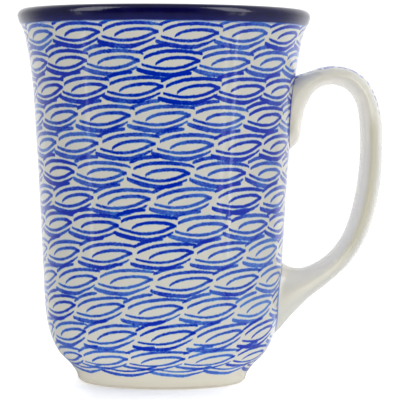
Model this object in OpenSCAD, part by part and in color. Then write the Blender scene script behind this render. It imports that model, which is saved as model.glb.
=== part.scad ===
// Stoneware mug: a jiggered cup with a flared, rolled lip and a turned foot ring,
// and one pulled strap handle that is luted to the wall with slip. Clay, slip and
// the fired glaze coats are separate solids that meet face to face.
// Units are millimetres. Z is the cup's axis, the foot ring stands on Z = 0, and
// the handle points along +X. Outer sizes are taken over the glaze.

/* [Cup] */
// Height from the table to the crest of the lip
cup_h = 120.6; // [112:0.1:130]
// Outer radius of the foot
foot_r = 27.3; // [25:0.1:29]
// Outer radius where the rounded base turns into the wall
belly_r = 38.1; // [36:0.1:40]
// Outer radius at half height
waist_r = 40.15; // [38.5:0.05:41.5]
// Outer radius over the rolled lip
lip_r = 47.6; // [46:0.1:50]
// Thickness of the finished wall
wall_t = 4.1; // [3.4:0.1:5]
// Thickness of the rolled lip
lip_t = 4.6; // [4.2:0.1:5.4]
// Height of the drinking side of the floor above the table
floor_h = 7.4; // [6.5:0.1:9]

/* [Foot ring] */
// Radial width of the bare face that the mug stands on
foot_face_w = 3.2; // [2:0.1:5]
// Depth of the glazed recess inside the foot ring
recess_h = 2.6; // [2:0.1:3.5]
// Height of the bare edge below the glaze line
bare_h = 0.9; // [0.6:0.1:1.5]

/* [Handle] */
// Width of the strap where it meets the wall
root_w = 17.6; // [15:0.2:19]
// Width of the strap at its slimmest, below the middle
grip_w = 16.4; // [14:0.1:18]
// Roundness of the strap's section: 2 is an ellipse, lower is more like a lens
strap_power = 1.6; // [1.4:0.1:2.6]

/* [Coats] */
// Thickness of the fired glaze
glaze_t = 0.35; // [0.25:0.05:0.5]
// Thickness of the joining slip under each end of the handle
slip_t = 0.5; // [0.45:0.05:0.8]
// Depth of the navy band below the crest, outside the lip
band_out = 4.9; // [3:0.1:8]
// Depth of the navy band below the crest, inside the lip
band_in = 6.2; // [3:0.1:8]

/* [Hidden] */
$fn = 144;
curve_steps = 4;
lip_steps = 12;
strap_steps = 2;
strap_sides = 24;
lip_round = lip_t / 2;
lip_centre = [lip_r - lip_round, cup_h - lip_round];

// The outside of the cup over the glaze, from the glaze line up to the lip: a short
// upright foot, a flare out to the belly, a nearly straight wall and a flared neck.
outer_marks = [
    [foot_r, bare_h],
    [foot_r + 0.7, 3],
    [foot_r + 3, 6],
    [foot_r + 6.1, 9],
    [belly_r - 2.5, 12.8],
    [belly_r - 0.8, 18],
    [belly_r + 0.25, 25],
    [(belly_r + waist_r) / 2, 40],
    [waist_r, 60],
    [waist_r + 1.25, 80],
    [waist_r + 2.3, 95],
    [waist_r + 3.7, 105.5],
    [lip_r - 2.15, cup_h - 7.6],
    [lip_r - 0.5, cup_h - 4]
];

// The drinking side over the glaze, from the lip down to the middle of the floor.
inner_marks = [
    [lip_r - lip_t - 0.45, cup_h - 4.8],
    [waist_r + 3.55 - wall_t, cup_h - 14],
    [waist_r + 2.4 - wall_t, 95],
    [waist_r + 1.2 - wall_t, 80],
    [waist_r - 0.05 - wall_t, 60],
    [(belly_r + waist_r) / 2 - 0.1 - wall_t, 40],
    [belly_r - wall_t, floor_h + 16],
    [belly_r - 1.3 - wall_t, floor_h + 8],
    [belly_r - 4.6 - wall_t, floor_h + 3],
    [belly_r - 10.6 - wall_t, floor_h + 0.7],
    [belly_r - 20 - wall_t, floor_h + 0.1],
    [0, floor_h]
];

// The strap over the glaze, as places along it: [outer face, inner face, width].
// Both ends run on into the wall. The upper end is turned down the wall in a
// tongue, and the lower end spreads and thins out towards the base.
strap_marks = [
    [[36.6, 82.0], [37.6, 73.8], root_w - 4.5],
    [[37.6, 85.5], [41.4, 75.7], root_w - 2.5],
    [[38.0, 89.0], [44.3, 79.0], root_w - 1],
    [[38.6, 93.0], [45.1, 84.2], root_w - 0.2],
    [[40.0, 97.4], [46.1, 89.0], root_w],
    [[43.0, 99.6], [48.3, 93.4], root_w - 0.1],
    [[47.0, 100.95], [51.0, 95.9], root_w - 0.2],
    [[51.4, 102.4], [53.5, 96.6], root_w - 0.3],
    [[56.2, 102.85], [56.0, 96.65], root_w - 0.4],
    [[61.8, 101.5], [59.7, 95.1], root_w - 0.5],
    [[67.2, 96.9], [62.5, 91.4], grip_w + 0.5],
    [[70.6, 88.0], [63.75, 86.0], grip_w + 0.4],
    [[71.4, 78.0], [64.1, 77.5], grip_w + 0.2],
    [[71.1, 68.0], [63.7, 68.5], grip_w + 0.1],
    [[69.5, 57.2], [62.2, 58.9], grip_w],
    [[66.1, 46.8], [59.4, 49.5], grip_w],
    [[60.8, 38.4], [55.4, 43.2], grip_w + 0.1],
    [[54.3, 32.2], [50.6, 39.2], grip_w + 0.3],
    [[47.6, 26.9], [46.0, 37.2], root_w - 0.7],
    [[42.4, 21.6], [41.8, 37.3], root_w - 0.4],
    [[38.2, 16.8], [38.4, 39.0], root_w - 1],
    [[34.6, 13.6], [35.0, 40.4], root_w - 3]
];

// A smooth curve through marks, each a number, a point or a nested list of points.
function between(a, b, c, d, t) =
    b + (c - a) * t / 2
    + (2 * a - 5 * b + 4 * c - d) * t * t / 2
    + (3 * b - a - 3 * c + d) * t * t * t / 2;
function mark(marks, i) = marks[min(max(i, 0), len(marks) - 1)];
function curve(marks, steps) = [
    for (i = [0 : len(marks) - 2], s = [0 : steps - 1])
        between(mark(marks, i - 1), marks[i], marks[i + 1], mark(marks, i + 2), s / steps),
    marks[len(marks) - 1]
];

// Parts of a path, and the path moved sideways: outwards for a positive distance.
function span(path, from, to) = [for (i = [from : to]) path[i]];
function backwards(path) = [for (i = [len(path) - 1 : -1 : 0]) path[i]];
function along(path, i) = mark(path, i + 1) - mark(path, i - 1);
function sideways(path, distance) = [
    for (i = [0 : len(path) - 1])
        let (t = along(path, i) / norm(along(path, i)))
        path[i] + distance * [path[i][0] == 0 ? 0 : t[1], -t[0]]
];

// The glazed surface as one path, up the outside, over the lip and down the inside.
outer_path = curve(outer_marks, curve_steps);
lip_path = [
    for (i = [1 : lip_steps - 1])
        let (a = 180 * i / lip_steps)
        lip_centre + lip_round * [cos(a), sin(a)]
];
inner_path = curve(inner_marks, curve_steps);
lip_ends = [lip_centre + [lip_round, 0], lip_centre - [lip_round, 0]];
glaze_path = concat(outer_path, [lip_ends[0]], lip_path, [lip_ends[1]], inner_path);
clay_path = sideways(glaze_path, -glaze_t);
slip_path = sideways(clay_path, slip_t);
last = len(glaze_path) - 1;
crest = len(outer_path) + lip_steps / 2;
band_low = len([for (p = outer_path) if (p[1] < cup_h - band_out) p]);
band_high = crest + len([for (i = [crest : last]) if (glaze_path[i][1] > cup_h - band_in) i]);

// The underside: a flat recess with a rounded corner and an upright flank, set in by
// a distance, and the foot ring's two rounded edges on either side of its bare face.
recess_r = foot_r - 2 * (glaze_t + bare_h) - foot_face_w;
corner_r = 1.2;
function recess(distance) = [
    [0, recess_h + distance],
    for (a = [90 : -22.5 : 0])
        [recess_r, recess_h] - corner_r * [1, 1] + (corner_r + distance) * [cos(a), sin(a)],
    [recess_r + distance, bare_h]
];
foot_inner_edge = [
    for (a = [22.5 : 22.5 : 90])
        [recess_r + glaze_t + bare_h * (1 - cos(a)), bare_h * (1 - sin(a))]
];
foot_outer_edge = [
    for (a = [0 : 22.5 : 67.5])
        [foot_r - glaze_t - bare_h * (1 - sin(a)), bare_h * (1 - cos(a))]
];

module lathe(outline) { rotate_extrude() polygon(outline); }

// A coat between two places on the glazed surface.
module coat(from, to) {
    lathe(concat(span(glaze_path, from, to), backwards(span(clay_path, from, to))));
}

// Everything inside a wall path, solid to the axis.
module filled(path) { lathe(concat([[0, path[0][1]]], span(path, 0, crest), [[0, path[crest][1]]])); }

// One ring of points round the strap, grown all round by a distance.
function power(v) = sign(v) * pow(abs(v), 2 / strap_power);
function strap_ring(place, grow) =
    let (
        across = place[0] - place[1],
        middle = (place[0] + place[1]) / 2,
        u = across / norm(across),
        half_t = norm(across) / 2 + grow,
        half_w = place[2] / 2 + grow
    )
    [for (k = [0 : strap_sides - 1])
        let (
            a = 360 * k / strap_sides,
            p = middle + u * half_t * power(cos(a))
        )
        [p[0], half_w * power(sin(a)), p[1]]];

module strap(grow) {
    places = curve(strap_marks, strap_steps);
    rings = len(places);
    n = strap_sides;
    polyhedron(
        points = [for (place = places) each strap_ring(place, grow)],
        faces = [
            [for (k = [n - 1 : -1 : 0]) k],
            [for (k = [0 : n - 1]) (rings - 1) * n + k],
            for (r = [0 : rings - 2], k = [0 : n - 1])
                let (a = r * n + k, b = r * n + (k + 1) % n)
                each [[a, b, a + n], [b, b + n, a + n]]
        ],
        convexity = 4
    );
}

module slip_joint(low, high) {
    near = [for (i = [0 : crest]) if (clay_path[i][1] > low && clay_path[i][1] < high) i];
    from = near[0];
    to = near[len(near) - 1];
    intersection() {
        strap(-glaze_t);
        lathe(concat(span(slip_path, from, to), backwards(span(clay_path, from, to))));
    }
}

module body() {
    color("wheat")
    lathe(concat(foot_outer_edge, clay_path, recess(glaze_t), foot_inner_edge));
}

module handle() {
    color("wheat")
    difference() {
        strap(-glaze_t);
        filled(slip_path);
    }
}

module upper_slip_joint() { color("tan") slip_joint(68, 106); }

module lower_slip_joint() { color("tan") slip_joint(11, 46); }

module outer_glaze() {
    color("royalblue")
    difference() {
        coat(0, band_low);
        strap(-glaze_t);
    }
}

module rim_glaze() { color("midnightblue") coat(band_low, band_high); }

module inner_glaze() { color("ivory") coat(band_high, last); }

module foot_recess_glaze() {
    color("ivory")
    lathe(concat(recess(0), backwards(recess(glaze_t))));
}

module handle_glaze() {
    color("ivory")
    difference() {
        strap(0);
        strap(-glaze_t);
        filled(glaze_path);
    }
}

body();
handle();
upper_slip_joint();
lower_slip_joint();
outer_glaze();
rim_glaze();
inner_glaze();
foot_recess_glaze();
handle_glaze();
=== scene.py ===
"""Stoneware mug with stamped cobalt scallops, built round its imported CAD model.

The frame is in metres with +Z up: the cup's axis is Z, the foot ring stands on Z = 0
and the handle points along +X. Shapes below are worked out in millimetres, on the
same marks as the CAD model, and turned into metres when a mesh is made.
"""
import math

import bpy
import numpy as np
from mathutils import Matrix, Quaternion, Vector
from mathutils.bvhtree import BVHTree


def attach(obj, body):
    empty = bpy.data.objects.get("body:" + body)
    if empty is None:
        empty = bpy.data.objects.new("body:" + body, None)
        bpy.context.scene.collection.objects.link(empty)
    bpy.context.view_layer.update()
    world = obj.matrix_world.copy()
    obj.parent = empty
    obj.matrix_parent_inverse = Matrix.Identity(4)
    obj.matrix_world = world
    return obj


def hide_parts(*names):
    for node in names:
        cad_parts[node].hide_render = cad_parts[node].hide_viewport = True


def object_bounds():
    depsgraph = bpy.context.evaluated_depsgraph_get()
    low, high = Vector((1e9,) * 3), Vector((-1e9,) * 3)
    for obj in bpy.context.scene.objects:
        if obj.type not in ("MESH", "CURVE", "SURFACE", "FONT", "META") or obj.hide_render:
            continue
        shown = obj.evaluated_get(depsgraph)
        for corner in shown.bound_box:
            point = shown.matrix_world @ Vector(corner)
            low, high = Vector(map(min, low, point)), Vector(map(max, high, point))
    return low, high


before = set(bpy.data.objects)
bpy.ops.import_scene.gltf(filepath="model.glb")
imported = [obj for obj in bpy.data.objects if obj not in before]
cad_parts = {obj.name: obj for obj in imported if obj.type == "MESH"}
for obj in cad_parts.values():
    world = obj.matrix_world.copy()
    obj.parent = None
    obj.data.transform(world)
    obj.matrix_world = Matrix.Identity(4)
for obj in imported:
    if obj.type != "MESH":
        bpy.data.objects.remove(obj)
cad_low, cad_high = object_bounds()

MM = 0.001

# ---------------------------------------------------------------- sizes, in mm
# The cup, as in the CAD model: heights are above the table and radii are over the glaze.
cup_h = cad_high.z / MM
lip_r = -cad_low.x / MM
foot_r = 27.3
# where the rounded base turns into the wall, and half way up
belly_r = 38.1
waist_r = 40.15
wall_t = 4.1
lip_t = 4.6
floor_h = 7.4
# the glazed recess inside the foot ring, and the bare edge below the glaze line
recess_h = 2.6
recess_r = 21.6
recess_corner = 1.2
bare_h = 0.9
# the handle's width at the wall and at its slimmest, and the roundness of its section,
# where 2 is an ellipse and less is more like a lens
root_w = 17.6
grip_w = 16.4
strap_power = 1.6
# the glaze, and how far the navy band reaches down from the crest outside and inside
glaze_t = 0.35
band_out = 4.9
band_in = 6.2
lip_round = lip_t / 2
lip_centre = np.array([lip_r - lip_round, cup_h - lip_round])

# The outside of the cup from the glaze line up to the lip, radius and height.
outer_marks = [
    (foot_r, bare_h),
    (foot_r + 0.7, 3),
    (foot_r + 3, 6),
    (foot_r + 6.1, 9),
    (belly_r - 2.5, 12.8),
    (belly_r - 0.8, 18),
    (belly_r + 0.25, 25),
    ((belly_r + waist_r) / 2, 40),
    (waist_r, 60),
    (waist_r + 1.25, 80),
    (waist_r + 2.3, 95),
    (waist_r + 3.7, 105.5),
    (lip_r - 2.15, cup_h - 7.6),
    (lip_r - 0.5, cup_h - 4),
]
# The inside of the cup from the lip down to the middle of its floor.
inner_marks = [
    (lip_r - lip_t - 0.45, cup_h - 4.8),
    (waist_r + 3.55 - wall_t, cup_h - 14),
    (waist_r + 2.4 - wall_t, 95),
    (waist_r + 1.2 - wall_t, 80),
    (waist_r - 0.05 - wall_t, 60),
    ((belly_r + waist_r) / 2 - 0.1 - wall_t, 40),
    (belly_r - wall_t, floor_h + 16),
    (belly_r - 1.3 - wall_t, floor_h + 8),
    (belly_r - 4.6 - wall_t, floor_h + 3),
    (belly_r - 10.6 - wall_t, floor_h + 0.7),
    (belly_r - 20 - wall_t, floor_h + 0.1),
    (0, floor_h),
]
# Places along the handle: outer face x and z, inner face x and z, width.
strap_marks = [
    (36.6, 82.0, 37.6, 73.8, root_w - 4.5),
    (37.6, 85.5, 41.4, 75.7, root_w - 2.5),
    (38.0, 89.0, 44.3, 79.0, root_w - 1),
    (38.6, 93.0, 45.1, 84.2, root_w - 0.2),
    (40.0, 97.4, 46.1, 89.0, root_w),
    (43.0, 99.6, 48.3, 93.4, root_w - 0.1),
    (47.0, 100.95, 51.0, 95.9, root_w - 0.2),
    (51.4, 102.4, 53.5, 96.6, root_w - 0.3),
    (56.2, 102.85, 56.0, 96.65, root_w - 0.4),
    (61.8, 101.5, 59.7, 95.1, root_w - 0.5),
    (67.2, 96.9, 62.5, 91.4, grip_w + 0.5),
    (70.6, 88.0, 63.75, 86.0, grip_w + 0.4),
    (71.4, 78.0, 64.1, 77.5, grip_w + 0.2),
    (71.1, 68.0, 63.7, 68.5, grip_w + 0.1),
    (69.5, 57.2, 62.2, 58.9, grip_w),
    (66.1, 46.8, 59.4, 49.5, grip_w),
    (60.8, 38.4, 55.4, 43.2, grip_w + 0.1),
    (54.3, 32.2, 50.6, 39.2, grip_w + 0.3),
    (47.6, 26.9, 46.0, 37.2, root_w - 0.7),
    (42.4, 21.6, 41.8, 37.3, root_w - 0.4),
    (38.2, 16.8, 38.4, 39.0, root_w - 1),
    (34.6, 13.6, 35.0, 40.4, root_w - 3),
]

# Stamped decoration, in mm on the wall.
row_pitch = 8.5
first_row = 114.7
# Each row of prints from the lip down: how many go round, how far round the first one
# starts as a share of a print, how much they lean, and how far the row slipped up. The
# starts, leans and slips are rounded row means of a fit to the prints in the photo.
rows = [
    (15, 0.59, 0.00, 0.50),
    (15, 0.27, -0.02, 0.20),
    (15, 0.65, 0.00, 0.30),
    (14, 0.14, 0.00, 0.15),
    (14, 0.55, 0.01, -0.20),
    (13, 0.12, -0.04, -0.40),
    (13, 0.50, 0.02, -0.25),
    (14, 0.87, 0.00, -0.10),
    (13, 0.17, 0.03, -0.10),
    (13, 0.52, 0.04, 0.00),
    (13, 0.02, 0.06, -0.30),
    (13, 0.22, 0.09, -0.30),
    (12, 0.06, 0.03, -0.50),
    (11, 0.56, 0.00, 0.00),
]
# The lowest row had no room left, so only its lower strokes were printed, this much
# higher than its place, over the row above.
squeezed_up = 4.8
# The stamp's strokes round the middle of its eye: places along the centre line, and the
# stroke's half width at shares of its length. The places were read off an average of the
# prints in the photo, so the motif follows the maker's own.
stamp = {
    "top stroke": (
        [(-12.2, 2.8), (-10.5, 3.45), (-8.8, 4.15), (-6.75, 4.6), (-4.7, 4.9), (-2.6, 5.0)],
        [(0, 0.2), (0.05, 0.6), (0.4, 0.68), (0.9, 0.62), (0.97, 0.5), (1, 0.2)],
    ),
    "upper arc": (
        [(-10.9, 0.8), (-8.8, 1.85), (-6.75, 2.5), (-4.7, 2.95), (-2.6, 3.15), (0.3, 3.3),
         (2.8, 3.2), (4.9, 3.0), (6.8, 2.75), (8.3, 2.25)],
        [(0, 0.2), (0.03, 0.55), (0.3, 0.64), (0.8, 0.62), (0.95, 0.48), (1, 0.2)],
    ),
    "eye top": (
        [(-7.15, -1), (-6.6, -0.55), (-5.7, -0.05), (-4.7, 0.4), (-2.6, 0.95), (-0.5, 1.2),
         (2, 1.3), (3.7, 1.2), (4.9, 0.95), (6, 0.55), (7, 0.35)],
        [(0, 0.2), (0.04, 0.55), (0.2, 0.58), (0.6, 0.6), (0.9, 0.64), (0.97, 0.56), (1, 0.3)],
    ),
    "eye bottom": (
        [(-11.4, -0.9), (-9.9, -1.35), (-7.8, -1.85), (-5.7, -2.2), (-3.6, -2.3),
         (-1.5, -2.2), (0.5, -1.85), (2.6, -1.25), (4.3, -0.5), (5.7, 0.1), (7, 0.4)],
        [(0, 0.2), (0.03, 0.46), (0.3, 0.54), (0.6, 0.58), (0.9, 0.64), (0.97, 0.56), (1, 0.3)],
    ),
    "heavy start": (
        [(-13, -2.3), (-12, -2.65), (-10.9, -3), (-8.8, -3.5), (-6.75, -3.85), (-5.4, -4)],
        [(0, 0.3), (0.05, 0.66), (0.3, 0.78), (0.97, 0.76), (1, 0.6)],
    ),
    "heavy arc": (
        [(-5.6, -3.95), (-3.6, -4.15), (-1.75, -4.15), (-0.1, -3.85), (1.6, -3.3),
         (3.7, -2.6), (4.8, -2.1), (6, -1.5)],
        [(0, 0.6), (0.03, 0.74), (0.35, 0.76), (0.6, 0.64), (0.85, 0.5), (0.96, 0.42), (1, 0.2)],
    ),
}
low_strokes = ("eye bottom", "heavy start", "heavy arc")


# ---------------------------------------------------------------- curves
def curve(marks, steps):
    """A smooth curve through the marks, with steps pieces between neighbours."""
    marks = np.array(marks, float)
    last = len(marks) - 1
    out = []
    for i in range(last):
        a, b, c, d = (marks[min(max(k, 0), last)] for k in (i - 1, i, i + 1, i + 2))
        for t in np.arange(steps) / steps:
            out.append(
                b
                + (c - a) * t / 2
                + (2 * a - 5 * b + 4 * c - d) * t**2 / 2
                + (3 * b - a - 3 * c + d) * t**3 / 2
            )
    return np.array(out + [marks[-1]])


def tangents(path):
    """The path's direction at each point."""
    padded = np.vstack([path[:1], path, path[-1:]])
    t = padded[2:] - padded[:-2]
    return t / np.linalg.norm(t, axis=1)[:, None]


def sideways(path, distance):
    """The path moved outwards, or inwards for a negative distance. A point on the axis
    stays on it."""
    t = tangents(path)
    out = path + distance * np.column_stack([t[:, 1], -t[:, 0]])
    out[path[:, 0] == 0, 0] = 0
    return out


def lengths(path):
    """How far each point is along the path."""
    return np.concatenate([[0], np.cumsum(np.linalg.norm(np.diff(path, axis=0), axis=1))])


def recess(grow):
    """The glazed recess under the cup from its middle to the glaze line, grown into the
    clay by grow."""
    corner = np.radians(np.arange(90, -1, -7.5))
    bend_at = np.array([recess_r - recess_corner, recess_h - recess_corner])
    bend = bend_at + (recess_corner + grow) * np.column_stack([np.cos(corner), np.sin(corner)])
    flat = np.column_stack([np.linspace(0, bend_at[0], 12)[:-1], np.full(11, recess_h + grow)])
    return np.vstack([flat, bend, [[recess_r + grow, bare_h]]])


outer_path = curve(outer_marks, 10)
lip_angles = np.radians(np.arange(0, 181, 6))
lip_path = lip_centre + lip_round * np.column_stack([np.cos(lip_angles), np.sin(lip_angles)])
inner_path = curve(inner_marks, 10)
glaze_path = np.vstack([outer_path, lip_path, inner_path])
clay_path = sideways(glaze_path, -glaze_t)
# Places along the glaze's outline: the crest, and the navy band's two ends.
crest = int(glaze_path[:, 1].argmax())
band_low = int((outer_path[:, 1] < cup_h - band_out).sum())
band_high = crest + int((glaze_path[crest:, 1] > cup_h - band_in).sum())
wall_lengths = lengths(glaze_path) + bare_h


# ---------------------------------------------------------------- meshes
# The bake map's lowest strip is for faces that never show, and a skin starts above it.
hidden_to = 0.02
skin_from = 0.03


def new_object(name, points, faces, uvs):
    """A mesh from points in mm. uvs maps a UV map's name to one pair per face corner."""
    mesh = bpy.data.meshes.new(name)
    mesh.from_pydata((np.asarray(points) * MM).tolist(), [], faces)
    for uv_name, pairs in uvs.items():
        layer = mesh.uv_layers.new(name=uv_name)
        layer.data.foreach_set("uv", np.asarray(pairs, np.float32).ravel())
    mesh.polygons.foreach_set("use_smooth", [True] * len(mesh.polygons))
    mesh.update()
    piece = bpy.data.objects.new(name, mesh)
    bpy.context.scene.collection.objects.link(piece)
    return piece


def point_values(piece, name, values):
    """Stores one number per point, for the materials."""
    layer = piece.data.attributes.new(name, "FLOAT", "POINT")
    layer.data.foreach_set("value", np.asarray(values, np.float32).ravel())


def lathe(name, skin, back, skin_lengths, sides=224):
    """A closed coat, turned round Z. skin is the side that shows and back the side that
    lies on the clay, both as radius and height from the same end. Turns run from -0.75 to
    0.25 and are 0 in front, so the stamped rows meet under the handle. The map Wrap holds
    turns and mm, and the map OFBake keeps the skin apart from the hidden back."""
    loop = np.vstack([skin, back[::-1]])
    along = np.concatenate([skin_lengths, np.full(len(back), skin_lengths[-1])])
    turns = np.arange(sides + 1) / sides - 0.75
    angle = 2 * math.pi * turns[:-1]
    on_axis = loop[:, 0] < 1e-6
    points, ring_start = [], []
    for (r, z), single in zip(loop, on_axis):
        ring_start.append(len(points))
        if single:
            points.append((0, 0, z))
        else:
            points.extend(zip(r * np.sin(angle), -r * np.cos(angle), np.full(sides, z)))
    faces, wrap, bake = [], [], []
    for i in range(len(loop)):
        j = (i + 1) % len(loop)
        if on_axis[i] and on_axis[j]:
            continue
        if i < len(skin) - 1:
            low, high = along[i], along[j]
            shares = (np.array([low, high]) - skin_lengths[0]) / (skin_lengths[-1] - skin_lengths[0])
            v_low, v_high = skin_from + (1 - skin_from) * shares
        else:
            low = high = along[i]
            v_low, v_high = 0, hidden_to
        for k in range(sides):
            face = []
            for ring, steps, mm, v in ((i, (k, k + 1), low, v_low), (j, (k + 1, k), high, v_high)):
                for step in (k,) if on_axis[ring] else steps:
                    face.append(ring_start[ring] + (0 if on_axis[ring] else step % sides))
                    wrap.append((turns[step], mm))
                    bake.append((step / sides, v))
            faces.append(face)
    piece = new_object(name, points, faces, {"Wrap": wrap, "OFBake": bake})
    point_values(piece, "girth", np.linalg.norm(np.array(points)[:, :2], axis=1) * 2 * math.pi)
    piece.data.set_sharp_from_angle(angle=math.radians(50))
    return piece


def coat(name, start, end):
    """The glaze over part of the cup's outline."""
    return lathe(
        name,
        glaze_path[start : end + 1],
        clay_path[start : end + 1],
        wall_lengths[start : end + 1],
    )


def wall_radius(z):
    """The cup's outer radius over the glaze at a height."""
    return np.interp(z, glaze_path[: crest + 1, 1], glaze_path[: crest + 1, 0])


def strap(name, sides=72, steps=9, flare=1.1, flare_reach=2.6, root_depth=1.2):
    """The handle over its glaze. Its sides flare softly within flare_reach of the wall, and
    its ends stop root_depth inside the wall instead of showing in the cup."""
    places = curve(strap_marks, steps)
    outer, inner, width = places[:, 0:2], places[:, 2:4], places[:, 4]
    middle = (outer + inner) / 2
    across = outer - inner
    thick = np.linalg.norm(across, axis=1)
    way = across / thick[:, None]
    angle = 2 * math.pi * np.arange(sides) / sides
    power = 2 / strap_power
    outward = np.sign(np.cos(angle)) * np.abs(np.cos(angle)) ** power
    sideward = np.sign(np.sin(angle)) * np.abs(np.sin(angle)) ** power
    xz = middle[:, None, :] + way[:, None, :] * (thick[:, None, None] / 2) * outward[None, :, None]
    y = width[:, None] / 2 * sideward[None, :]
    clear = np.hypot(xz[..., 0], y) - wall_radius(xz[..., 1])
    near = np.clip(1 - clear / flare_reach, 0, 1.4)
    y = y + flare * near**2 * sideward
    deepest = wall_radius(xz[..., 1]) - root_depth
    buried = np.hypot(xz[..., 0], y) < deepest
    xz[..., 0][buried] = np.sqrt(deepest[buried] ** 2 - y[buried] ** 2)
    points = np.stack([xz[..., 0], y, xz[..., 1]], axis=-1).reshape(-1, 3)
    rings = len(places)
    along = lengths(middle)
    faces, wrap, bake = [], [], []
    for r in range(rings - 1):
        for k in range(sides):
            corners = ((r + 1, k), (r + 1, k + 1), (r, k + 1), (r, k))
            faces.append([ring * sides + side % sides for ring, side in corners])
            for ring, side in corners:
                wrap.append((side / sides, along[ring]))
                share = hidden_to + (1 - hidden_to) * along[ring] / along[-1]
                bake.append((side / sides, share))
    faces.append(list(range(sides)))
    faces.append(list(range(rings * sides - 1, (rings - 1) * sides - 1, -1)))
    wrap.extend([(0, 0)] * (2 * sides))
    bake.extend([(0, 0)] * (2 * sides))
    piece = new_object(name, points, faces, {"Wrap": wrap, "OFBake": bake})
    point_values(piece, "across", y)
    point_values(piece, "edge", np.tile(np.abs(sideward), rings))
    point_values(piece, "outward", np.tile(outward, rings))
    point_values(piece, "clear", clear)
    piece.data.set_sharp_from_angle(angle=math.radians(70))
    return piece


def mark_joint(piece, handle, reach=6, joined_from=0.03):
    """Stores each wall point's distance from the handle in mm, up to reach, for the painted
    line. Only points with x past joined_from, in metres, are near enough to look."""
    surface = BVHTree.FromPolygons(
        [v.co for v in handle.data.vertices], [p.vertices for p in handle.data.polygons]
    )
    value = []
    for v in piece.data.vertices:
        gap = surface.find_nearest(v.co, reach * MM)[3] if v.co.x > joined_from else None
        value.append(reach if gap is None else gap / MM)
    point_values(piece, "joint", value)


# ---------------------------------------------------------------- node trees
class Wire:
    """A value in a node tree. Plain arithmetic on it adds Math nodes."""

    def __init__(self, tree, socket):
        self.tree, self.socket = tree, socket

    def math(self, operation, *others, clamp=False):
        made = node(self.tree, "ShaderNodeMath", {"operation": operation, "use_clamp": clamp})
        for socket, value in zip(made.inputs, (self, *others)):
            plug(self.tree, socket, value)
        return Wire(self.tree, made.outputs[0])

    def __add__(self, other):
        return self.math("ADD", other)

    def __sub__(self, other):
        return self.math("SUBTRACT", other)

    def __mul__(self, other):
        return self.math("MULTIPLY", other)

    def __truediv__(self, other):
        return self.math("DIVIDE", other)

    def __neg__(self):
        return self.math("MULTIPLY", -1)

    def round(self):
        return self.math("ROUND")

    def abs(self):
        return self.math("ABSOLUTE")

    def clamp(self):
        return self.math("ADD", 0, clamp=True)

    def at_most(self, other):
        return self.math("MINIMUM", other)

    def at_least(self, other):
        return self.math("MAXIMUM", other)

    def ramp(self, low, high):
        """Runs smoothly from 0 at low to 1 at high."""
        smooth = {"interpolation_type": "SMOOTHSTEP"}
        made = node(self.tree, "ShaderNodeMapRange", smooth, Value=self, From_Min=low, From_Max=high)
        return Wire(self.tree, made.outputs[0])


def plug(tree, socket, value):
    """Links a wire or an output to a socket, or sets the socket to a plain value."""
    if isinstance(value, Wire):
        tree.links.new(value.socket, socket)
    elif isinstance(value, bpy.types.NodeSocket):
        tree.links.new(value, socket)
    else:
        socket.default_value = value


def node(tree, kind, settings=None, **inputs):
    """A new node. An input's name has _ for each space."""
    made = tree.nodes.new(kind)
    for key, value in (settings or {}).items():
        setattr(made, key, value)
    for key, value in inputs.items():
        plug(tree, made.inputs[key.replace("_", " ")], value)
    return made


def attribute(tree, name):
    """A number that a mesh stores for each point."""
    made = node(tree, "ShaderNodeAttribute", {"attribute_name": name})
    return Wire(tree, made.outputs["Fac"])


def wrap_map(tree):
    """Turns round the axis and mm along the skin."""
    uv = node(tree, "ShaderNodeUVMap", {"uv_map": "Wrap"})
    parts = node(tree, "ShaderNodeSeparateXYZ", Vector=uv.outputs[0])
    return Wire(tree, parts.outputs["X"]), Wire(tree, parts.outputs["Y"])


def object_place(tree):
    """X, Y and Z in metres."""
    spot = node(tree, "ShaderNodeTexCoord").outputs["Object"]
    return [Wire(tree, s) for s in node(tree, "ShaderNodeSeparateXYZ", Vector=spot).outputs]


def noise(tree, size, detail=2, offset=0.0):
    """Noise round 0, from -1 to 1, with features of a size in mm. The offset makes one
    noise differ from another of the same size."""
    spot = node(tree, "ShaderNodeTexCoord").outputs["Object"]
    moved = node(tree, "ShaderNodeMapping", Vector=spot)
    moved.inputs["Location"].default_value = (offset, offset * 0.7, -offset)
    made = node(
        tree, "ShaderNodeTexNoise", Vector=moved.outputs[0], Scale=1 / (size * MM), Detail=detail
    )
    return (Wire(tree, made.outputs["Fac"]) - 0.5) * 2


def mix(tree, share, low, high):
    """A colour that is low where share is 0 and high where it is 1."""
    made = node(tree, "ShaderNodeMix", {"data_type": "RGBA"})
    # inputs 0, 6 and 7 and output 2 are the ones for colours
    plug(tree, made.inputs[0], share)
    plug(tree, made.inputs[6], low)
    plug(tree, made.inputs[7], high)
    return Wire(tree, made.outputs[2])


def group(name, inputs, outputs):
    """A new node group: its tree, the wires of its inputs and its output node."""
    tree = bpy.data.node_groups.new(name, "ShaderNodeTree")
    for key in inputs:
        tree.interface.new_socket(key, in_out="INPUT", socket_type="NodeSocketFloat")
    for key in outputs:
        tree.interface.new_socket(key, in_out="OUTPUT", socket_type="NodeSocketFloat")
    start = tree.nodes.new("NodeGroupInput")
    end = tree.nodes.new("NodeGroupOutput")
    return tree, [Wire(tree, s) for s in start.outputs[: len(inputs)]], end


def use_group(tree, made, *values):
    """The wires that a node group gives for the values."""
    box = node(tree, "ShaderNodeGroup", {"node_tree": made})
    for socket, value in zip(box.inputs, values):
        plug(tree, socket, value)
    return [Wire(tree, s) for s in box.outputs]


def float_curve(tree, value, points):
    """The value looked up on a smooth curve through the points."""
    made = node(tree, "ShaderNodeFloatCurve", Value=value)
    line = made.mapping.curves[0]
    line.points[0].location, line.points[1].location = points[0], points[-1]
    for x, y in points[1:-1]:
        line.points.new(x, y)
    made.mapping.update()
    return Wire(tree, made.outputs[0])


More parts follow.
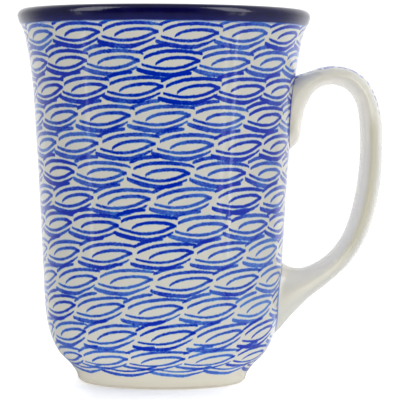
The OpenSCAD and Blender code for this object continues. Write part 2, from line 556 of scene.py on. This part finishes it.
# ---------------------------------------------------------------- stamped decoration
# The most prints in a row, the steepest lean and the farthest slip in mm: they scale a
# row's numbers to the 0 to 1 that a colour holds.
MOST_PRINTS = 20
STEEPEST = 0.2
FARTHEST = 1.0
# How unevenly single prints were placed: along the row and up it in mm, and their lean.
ASTRAY_ALONG = 0.8
ASTRAY_UP = 0.6
ASTRAY_LEAN = 0.06
# Where prints overlap, this share of the weaker ink adds to the stronger.
OVERPRINT = 0.35


def row_table(tree, row):
    """Looks a row up: its number of prints, its start, its lean and its slip."""
    table = node(tree, "ShaderNodeValToRGB", Fac=(row + 0.5) / len(rows))
    table.color_ramp.interpolation = "CONSTANT"
    steps = table.color_ramp.elements
    steps.remove(steps[1])
    for i, (count, start, lean, slip) in enumerate(rows):
        step = steps[0] if i == 0 else steps.new(i / len(rows))
        step.color = (
            count / MOST_PRINTS,
            start,
            lean / STEEPEST / 2 + 0.5,
            slip / FARTHEST / 2 + 0.5,
        )
    parts = node(tree, "ShaderNodeSeparateColor", Color=table.outputs["Color"])
    count, start, lean = (Wire(tree, s) for s in parts.outputs)
    slip = Wire(tree, table.outputs["Alpha"])
    return (
        (count * MOST_PRINTS).round(),
        start,
        (lean - 0.5) * 2 * STEEPEST,
        (slip - 0.5) * 2 * FARTHEST,
    )


def print_finder():
    """Finds the print that a place on the wall belongs to. Stroke X and Stroke Y are the
    middle of a stroke in the stamp, so that each stroke looks for its own nearest print."""
    tree, (turn, length, girth, x, y, first, final), end = group(
        "Nearest print",
        ["Turn", "Length", "Girth", "Stroke X", "Stroke Y", "First row", "Final row"],
        ["X", "Y", "Strength"],
    )
    row = ((length - y - first_row) / -row_pitch).round().at_least(first).at_most(final)
    count, start, lean, slip = row_table(tree, row)
    pitch = girth / count
    place = turn * count - start - x / pitch
    index = place.round()
    # the modulo gives a print that lies over the seam the same seed on both sides
    seed = row * 37 + (index + count * 4).math("FLOORED_MODULO", count)
    pick = node(tree, "ShaderNodeTexWhiteNoise", {"noise_dimensions": "1D"}, W=seed)
    chance = node(tree, "ShaderNodeSeparateColor", Color=pick.outputs["Color"])
    right, up, turned = (Wire(tree, s) - 0.5 for s in chance.outputs)
    local_x = (place - index) * pitch + x - right * ASTRAY_ALONG
    local_y = length - (row * -row_pitch + first_row) - slip - up * ASTRAY_UP
    local_y = local_y - (lean + turned * ASTRAY_LEAN) * local_x
    for i, value in enumerate((local_x, local_y, Wire(tree, pick.outputs["Value"]))):
        plug(tree, end.inputs[i], value)
    return tree


def stroke_group(name, marks, widths, finder):
    """One stroke of the stamp, printed all over the wall. Ink is 1 in the stroke and 0
    outside, and Core is 1 only in its thick middle. Ragged eats into its edge, in mm."""
    tree, (turn, length, girth, ragged, first, final), end = group(
        "Stroke " + name,
        ["Turn", "Length", "Girth", "Ragged", "First row", "Final row"],
        ["Ink", "Core", "Strength"],
    )
    xs, ys = [m[0] for m in marks], [m[1] for m in marks]
    span, middle = xs[-1] - xs[0], (xs[0] + xs[-1]) / 2
    low, high = min(ys), max(ys)
    x, y, strength = use_group(
        tree, finder, turn, length, girth, middle, (low + high) / 2, first, final
    )
    share = (x - xs[0]) / span
    line = float_curve(
        tree, share, [((mx - xs[0]) / span, (my - low) / (high - low)) for mx, my in marks]
    )
    half = float_curve(tree, share, widths)
    across = (y - (line * (high - low) + low)).abs() - half - ragged
    beyond = (share - 0.5).abs() * span - span / 2
    inside = -across.at_least(beyond)
    results = (inside.ramp(-0.12, 0.14), inside.ramp(-0.05, 0.38), strength)
    for i, value in enumerate(results):
        plug(tree, end.inputs[i], value)
    return tree


def overprinted(one, other):
    """The strength of ink where two prints may lie over each other."""
    return one.at_least(other) + one.at_most(other) * OVERPRINT


finder = print_finder()
strokes = {name: stroke_group(name, *shape, finder) for name, shape in stamp.items()}


def printed_ink(tree, turn, length, girth, names, first, final):
    """The share of ink from the named strokes of the stamp, how much of it is the thick
    middle of a stroke, and how strongly they printed. Low on the cup they print fuller."""
    ragged = noise(tree, size=0.4, detail=2) * 0.3
    ragged = ragged + noise(tree, size=1.8, detail=1, offset=41.0) * 0.1
    ragged = ragged - object_place(tree)[2].ramp(0.055, 0.035) * 0.09
    total = core = strength = None
    for name in names:
        ink, thick, strong = use_group(
            tree, strokes[name], turn, length, girth, ragged, first, final
        )
        strong = ink * (strong * 0.5 + 0.5)
        if total is None:
            total, core, strength = ink, thick, strong
        else:
            total, core = total.at_least(ink), core.at_least(thick)
            strength = overprinted(strength, strong)
    return total, core, strength


# ---------------------------------------------------------------- materials
# Linear colours. A THIN one is for where a coat or a print is thin. WARM is under the foot. The foot
# colour of the cup's outside is warmer where the glaze runs thin, and paler as painted light, which
# keeps the wall from darkening towards the table.
CREAM = (0.655, 0.642, 0.565, 1)
CREAM_THIN = (0.637, 0.632, 0.578, 1)
WARM = (0.61, 0.585, 0.485, 1)
WARM_THIN = (0.63, 0.605, 0.52, 1)
# painted light: the foot's cream is paler than the wall's, and warmer where the glaze thins
FOOT_WARM_AND_LIT = (0.70, 0.665, 0.555, 1)
# The handle's colours hold painted light and shade: its cream is paler than the cup's, its thin
# edges are darker (partly painted shade, partly thin glaze) but paler over the arch, and its inner
# face is pale.
HANDLE = (0.71, 0.69, 0.62, 1)
HANDLE_THIN_SHADED_EDGE = (0.62, 0.59, 0.46, 1)
HANDLE_LIT_EDGE = (0.76, 0.735, 0.635, 1)
HANDLE_INNER_LIT = (0.86, 0.83, 0.74, 1)
COBALT = (0.0, 0.018, 0.40, 1)
COBALT_THIN = (0.0, 0.14, 0.62, 1)
COBALT_EDGE = (0.0, 0.29, 0.68, 1)
NAVY = (0.002, 0.001, 0.036, 1)
NAVY_THIN = (0.009, 0.012, 0.13, 1)
CLAY = (0.60, 0.55, 0.45, 1)
CLAY_PALE = (0.66, 0.62, 0.53, 1)
SPECK = (0.42, 0.36, 0.28, 1)


def material(name, roughness=0.12):
    """A new material, its node tree and its shader."""
    made = bpy.data.materials.new(name)
    made.use_nodes = True
    shader = made.node_tree.nodes["Principled BSDF"]
    shader.inputs["Roughness"].default_value = roughness
    shader.inputs["IOR"].default_value = 1.52
    return made, made.node_tree, shader


def patchy(tree, base, other):
    """One colour with wide, soft patches of another."""
    return mix(tree, noise(tree, size=22, detail=3, offset=2.0).ramp(-0.6, 0.6), base, other)


def glaze_surface(tree, shader, smooth=0.04, rough=0.08):
    """The soft, slightly uneven gloss of a fired glaze, with faint ripples."""
    spots = noise(tree, size=3.0, detail=2, offset=1.0)
    plug(tree, shader.inputs["Roughness"], spots.ramp(-1, 1) * (rough - smooth) + smooth)
    waves = noise(tree, size=9, detail=2, offset=5.0) * 0.7
    waves = waves + noise(tree, size=1.6, detail=2, offset=7.0) * 0.3
    bump = node(tree, "ShaderNodeBump", Height=waves, Distance=0.1 * MM, Strength=0.5)
    plug(tree, shader.inputs["Normal"], bump.outputs[0])


def cream_glaze(name, thick, thin):
    """A plain pale glaze with a few specks of the clay's iron."""
    made, tree, shader = material(name)
    base = patchy(tree, thick, thin)
    specks = noise(tree, size=0.7, detail=1, offset=9.0).ramp(0.62, 0.75) * 0.35
    plug(tree, shader.inputs["Base Color"], mix(tree, specks, base, SPECK))
    glaze_surface(tree, shader)
    return made


def painted_line(tree, distance, outer, inner):
    """The cobalt line brushed along the handle's joints: 1 nearer to the joint than inner
    and 0 farther than outer, in mm."""
    uneven = noise(tree, size=2.5, detail=2, offset=17.0) * 0.15
    return (attribute(tree, distance) + uneven).ramp(outer, inner)


def with_line(ink, core, strength, line):
    """Adds a painted line to the prints."""
    return ink.at_least(line * 0.9), core.at_least(line), strength + line * 0.3


def cobalt_over(tree, base, ink, core, strength):
    """Cobalt under the glaze, mottled where the stamp printed thinly and paler along the edge of a
    stroke. It is fainter low on the cup, and towards the sides of the photo's view along Y, to
    match the photo. It is fainter low on the cup, and fainter towards the sides along X, as seen
    along Y, which is painted sheen: the pale reflection the glaze shows at a slant."""
    mottled = noise(tree, size=0.7, detail=3, offset=11.0)
    mottled = mottled + noise(tree, size=7, detail=2, offset=13.0) * 0.8
    x, _, z = object_place(tree)
    # fainter low on the cup, and towards ±X fainter as painted sheen
    fainter_low_and_sheen = z.ramp(0.06, 0.035) * 0.25 + x.abs().ramp(0.02, 0.04) * 0.12
    depth = (strength * 1.15 + 0.08 + mottled * 0.6 - fainter_low_and_sheen).clamp()
    colour = mix(tree, depth, COBALT_THIN, COBALT)
    colour = mix(tree, (core + mottled * 0.4 + depth * 0.3).clamp(), COBALT_EDGE, colour)
    return mix(tree, ink * (depth * 0.15 + 0.85), base, colour)


def decorated_glaze():
    """The outside of the cup: cream, the stamped rows, the line round the handle's ends,
    and the edge of the navy band."""
    made, tree, shader = material("decorated_glaze")
    turn, length = wrap_map(tree)
    base = patchy(tree, CREAM, CREAM_THIN)
    # near the table the cream turns to the foot colour: paler as painted light, warmer as thin glaze
    base = mix(tree, object_place(tree)[2].ramp(0.013, 0.003), base, FOOT_WARM_AND_LIT)
    girth = attribute(tree, "girth")
    length_there = length + noise(tree, size=14, detail=1, offset=3.0) * 0.3
    final = len(rows) - 1
    ink, core, strength = printed_ink(tree, turn, length_there, girth, stamp, 0, final - 1)
    low_ink, low_core, low_strength = printed_ink(
        tree, turn, length_there - squeezed_up, girth, low_strokes, final, final
    )
    prints = ink.at_least(low_ink), core.at_least(low_core), overprinted(strength, low_strength)
    line = painted_line(tree, "joint", 0.3, 0.1)
    colour = cobalt_over(tree, base, *with_line(*prints, line))
    band_edge = wall_lengths[band_low] - 0.35
    band = length + noise(tree, size=5, detail=2, offset=19.0) * 0.3
    band = band.ramp(band_edge - 0.3, band_edge + 0.1)
    fringe = length + noise(tree, size=1.5, detail=2, offset=53.0) * 0.4
    fringe = fringe.ramp(band_edge - 0.7, band_edge - 0.3)
    colour = mix(tree, fringe * 0.6, colour, COBALT_THIN)
    plug(tree, shader.inputs["Base Color"], mix(tree, band, colour, NAVY_THIN))
    glaze_surface(tree, shader)
    return made


def navy_glaze():
    """The band over the lip, bluer where it ran thin and along its lower edge."""
    made, tree, shader = material("navy_glaze")
    length = wrap_map(tree)[1]
    thin = (noise(tree, size=3.5, detail=3, offset=23.0) * 0.6 + 0.25).clamp()
    low = (length - wall_lengths[band_low]).ramp(2.5, 0)
    share = (thin * 0.4 + low * 0.5).clamp()
    plug(tree, shader.inputs["Base Color"], mix(tree, share, NAVY, NAVY_THIN))
    glaze_surface(tree, shader, smooth=0.08, rough=0.2)
    return made


def handle_base(tree, arch):
    """Cream that is paler than the cup's, as painted light. It is darker and warmer along the
    strap's thin edges, partly thin glaze and partly painted shade, but paler there over the arch and
    the low arm, as painted light, and pale on its inner face, in place of light that the studio
    doesn't throw there."""
    # painted light: the handle's cream is paler than the cup's
    base = patchy(tree, HANDLE, CREAM_THIN)
    thin_shaded_side = attribute(tree, "edge") + noise(tree, size=8, detail=2, offset=47.0) * 0.06
    low_arm = object_place(tree)[2].ramp(0.048, 0.036)
    # the thin edges: paler over the arch and the low arm as painted light, elsewhere darker and
    # warmer, partly thin glaze and partly painted shade
    edge = mix(tree, arch.at_least(low_arm), HANDLE_THIN_SHADED_EDGE, HANDLE_LIT_EDGE)
    base = mix(tree, thin_shaded_side.ramp(0.72, 1.0), base, edge)
    # painted light on the inner face
    return mix(tree, attribute(tree, "outward").ramp(-0.1, -0.6), base, HANDLE_INNER_LIT)


def handle_glaze():
    """The strap: cream, with prints where the stamp touched its outer face, which is wider
    over the arch, and the line round its ends."""
    made, tree, shader = material("handle_glaze")
    length = wrap_map(tree)[1]
    arch = object_place(tree)[2].ramp(0.081, 0.089)
    base = handle_base(tree, arch)
    # the rows are as on a cup of this girth, which keeps the prints to their true size
    girth = 234.0
    ink, core, strength = printed_ink(
        tree, attribute(tree, "across") / girth, -length + first_row, girth, stamp, 0, len(rows) - 2
    )
    uneven = noise(tree, size=6, detail=2, offset=43.0) * 0.15
    contact = attribute(tree, "outward") + uneven + arch * 0.12
    ink = ink * contact.ramp(0.89, 0.97)
    line = painted_line(tree, "clear", 0.16, 0)
    colour = cobalt_over(tree, base, *with_line(ink, core, strength, line))
    plug(tree, shader.inputs["Base Color"], colour)
    glaze_surface(tree, shader)
    return made


def fired_clay(name):
    """Bare stoneware: fine grain and pale patches."""
    made, tree, shader = material(name, 0.8)
    grain = noise(tree, size=0.5, detail=3, offset=29.0)
    patch = noise(tree, size=9, detail=2, offset=31.0) * 0.4
    share = (grain * 0.5 + patch + 0.5).clamp()
    plug(tree, shader.inputs["Base Color"], mix(tree, share, CLAY, CLAY_PALE))
    bump = node(tree, "ShaderNodeBump", Height=grain, Distance=0.05 * MM, Strength=0.6)
    plug(tree, shader.inputs["Normal"], bump.outputs[0])
    return made


# ---------------------------------------------------------------- the mug
def dress(piece, node_name, finish):
    """Puts a piece in the place of its CAD node."""
    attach(piece, "root")
    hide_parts(node_name)
    piece.data.materials.append(finish)


last = len(glaze_path) - 1
outer = coat("outer_glaze_coat", 0, band_low)
rim = coat("rim_glaze_coat", band_low, band_high)
inside = coat("inner_glaze_coat", band_high, last)
handle = strap("handle_glaze_coat")
mark_joint(outer, handle)

recess_skin = recess(0)
under = lathe("foot_recess_glaze_coat", recess_skin, recess(glaze_t), lengths(recess_skin))

dress(outer, "outer_glaze", decorated_glaze())
dress(rim, "rim_glaze", navy_glaze())
dress(inside, "inner_glaze", cream_glaze("cream_glaze", CREAM, CREAM_THIN))
dress(under, "foot_recess_glaze", cream_glaze("foot_glaze", WARM, WARM_THIN))
dress(handle, "handle_glaze", handle_glaze())

clay = fired_clay("fired_clay")
for name in ("body", "handle", "upper_slip_joint", "lower_slip_joint"):
    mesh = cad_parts[name].data
    mesh.materials.clear()
    mesh.materials.append(clay)

# ---------------------------------------------------------------- floor, light, camera
def light_path(tree, kind):
    """1 for one kind of ray and 0 for the rest."""
    return Wire(tree, node(tree, "ShaderNodeLightPath").outputs[kind])


def mirrored_studio(way):
    """What the gloss sees of the studio: a bright backdrop, grey sides, the right one
    brighter, and a dark front. way is a node that gives a direction from the mug."""
    right, behind = Wire(way.id_data, way.outputs["X"]), Wire(way.id_data, way.outputs["Y"])
    sides = behind.ramp(-0.75, -0.5) * 0.28 + right.ramp(0.38, 0.6) * 0.22
    return behind.ramp(0.2, 0.95) * 0.85 + sides


def floor_glow(tree):
    """The glow that makes the floor a white sheet with a short shadow. Distances are from
    the cup's axis, in metres."""
    spot = node(tree, "ShaderNodeTexCoord").outputs["Object"]
    way = node(tree, "ShaderNodeVectorMath", {"operation": "NORMALIZE"})
    far = node(tree, "ShaderNodeVectorMath", {"operation": "LENGTH"})
    plug(tree, way.inputs[0], spot)
    plug(tree, far.inputs[0], spot)
    distance = Wire(tree, far.outputs["Value"])
    # the mug's gloss sees the studio's walls in it, and a pale patch near the mug
    studio = mirrored_studio(node(tree, "ShaderNodeSeparateXYZ", Vector=way.outputs[0]))
    patch = distance.ramp(0.44, 0.3) * 0.18
    glow = light_path(tree, "Is Glossy Ray") * studio.at_least(patch)
    # the foot is lit from below
    glow = glow + light_path(tree, "Is Diffuse Ray") * distance.ramp(0.12, 0.04) * 0.4
    # the camera sees white, but for a shadow under the cup, which is kept short across the
    # photo's view along Y
    beside = object_place(tree)[0].abs().ramp(0.018, 0.036)
    white_out = distance.ramp(0.035, 0.09) * 0.28 + beside * 0.45 + 0.24
    return glow + light_path(tree, "Is Camera Ray") * white_out


def pale_floor(radius=0.55, sides=96):
    """A round white sheet that fades into the white studio."""
    mesh = bpy.data.meshes.new("floor")
    turns = [2 * math.pi * i / sides for i in range(sides)]
    edge = [(radius * math.cos(t), radius * math.sin(t), 0) for t in turns]
    mesh.from_pydata(edge, [], [tuple(range(sides))])
    sheet = bpy.data.objects.new("floor", mesh)
    bpy.context.scene.collection.objects.link(sheet)
    made, tree, shader = material("pale_floor", 0.9)
    shader.inputs["Specular IOR Level"].default_value = 0.0
    shader.inputs["Emission Color"].default_value = (1, 1, 1, 1)
    white, black = (0.93, 0.93, 0.93, 1), (0, 0, 0, 1)
    seen = mix(tree, light_path(tree, "Is Glossy Ray"), white, black)
    plug(tree, shader.inputs["Base Color"], seen)
    plug(tree, shader.inputs["Emission Strength"], floor_glow(tree))
    mesh.materials.append(made)
    return sheet


pale_floor()


def softbox(name, azimuth, elevation, distance, width, height, power, glossy=False):
    """A rectangular light in metres and watts, aimed at the middle of the mug. Azimuth 0 is
    in front of the mug, towards -Y. It is seen only in the gloss, or lights only the rest."""
    aim = Vector((0, 0, 0.06))
    a, e = math.radians(azimuth), math.radians(elevation)
    away = Vector((math.sin(a) * math.cos(e), -math.cos(a) * math.cos(e), math.sin(e)))
    light = bpy.data.lights.new(name, "AREA")
    light.shape, light.size, light.size_y = "RECTANGLE", width, height
    light.energy = power
    lamp = bpy.data.objects.new(name, light)
    lamp.location = aim + away * distance
    lamp.rotation_euler = (-away).to_track_quat("-Z", "Y").to_euler()
    lamp.visible_glossy, lamp.visible_diffuse = glossy, not glossy
    lamp.visible_camera = False
    bpy.context.scene.collection.objects.link(lamp)


# Seen in the gloss: two tall boxes for the lip, a dot on it, and three strips for the wall.
softbox("left_box", -62, 33, 1.0, 0.42, 1.0, 4, glossy=True)
softbox("right_box", 60, 33, 1.0, 0.42, 1.0, 4, glossy=True)
softbox("lamp_dot", 13, 12, 1.4, 0.03, 0.03, 0.05, glossy=True)
softbox("left_strip", -65, 0, 0.3, 0.016, 0.118, 0.008, glossy=True)
softbox("right_strip", 61, 0, 0.3, 0.014, 0.118, 0.011, glossy=True)
softbox("faint_strip", 52, 0, 0.3, 0.02, 0.118, 0.008, glossy=True)
# What lights the mug.
softbox("front_fill", -30, 14, 1.0, 0.7, 0.6, 3.4)
softbox("low_fill", 20, 8, 1.0, 0.6, 0.4, 1.15)
softbox("high_fill", 30, 55, 1.0, 0.6, 0.5, 0.97)
softbox("right_fill", 75, 25, 1.0, 0.6, 0.5, 2.4)
softbox("back_right_fill", 125, 25, 1.0, 0.6, 0.5, 4.54)
softbox("back_left_fill", -125, 25, 1.0, 0.6, 0.5, 1.8)
softbox("top_fill", 0, 75, 1.2, 1.0, 1.0, 3.11)


def studio_world():
    """White for the camera, the mirrored studio for the gloss, and a soft light that comes
    mostly from behind for the rest."""
    world = bpy.data.worlds.new("studio")
    bpy.context.scene.world = world
    world.use_nodes = True
    tree = world.node_tree
    shade = tree.nodes["Background"]
    shade.inputs["Color"].default_value = (1, 1, 1, 1)
    spot = node(tree, "ShaderNodeTexCoord").outputs["Generated"]
    way = node(tree, "ShaderNodeSeparateXYZ", Vector=spot)
    soft = Wire(tree, way.outputs["Y"]).ramp(-0.2, 1) * 0.75 + 0.05
    room = light_path(tree, "Is Glossy Ray") * (mirrored_studio(way) - soft) + soft
    plug(tree, shade.inputs["Strength"], room.at_least(light_path(tree, "Is Camera Ray") * 1.15))


def photo_camera(lens, distance, eye_height, aim_x, aim_z, roll):
    """The camera at the photo's angle. Lengths are in metres, the lens in mm and the roll in
    degrees."""
    data = bpy.data.cameras.new("camera")
    data.sensor_width, data.lens = 36, lens
    camera = bpy.data.objects.new("camera", data)
    camera.location = (aim_x, -distance, eye_height)
    look = Vector((aim_x, 0, aim_z)) - camera.location
    camera.rotation_mode = "QUATERNION"
    upright = look.to_track_quat("-Z", "Y")
    camera.rotation_quaternion = upright @ Quaternion((0, 0, 1), math.radians(roll))
    bpy.context.scene.collection.objects.link(camera)
    return camera


studio_world()
bpy.context.scene.camera = photo_camera(
    lens=201.5, distance=0.73, eye_height=0.08702, aim_x=0.0121, aim_z=0.05892, roll=0.37
)
bpy.context.scene.view_settings.view_transform = "Standard"
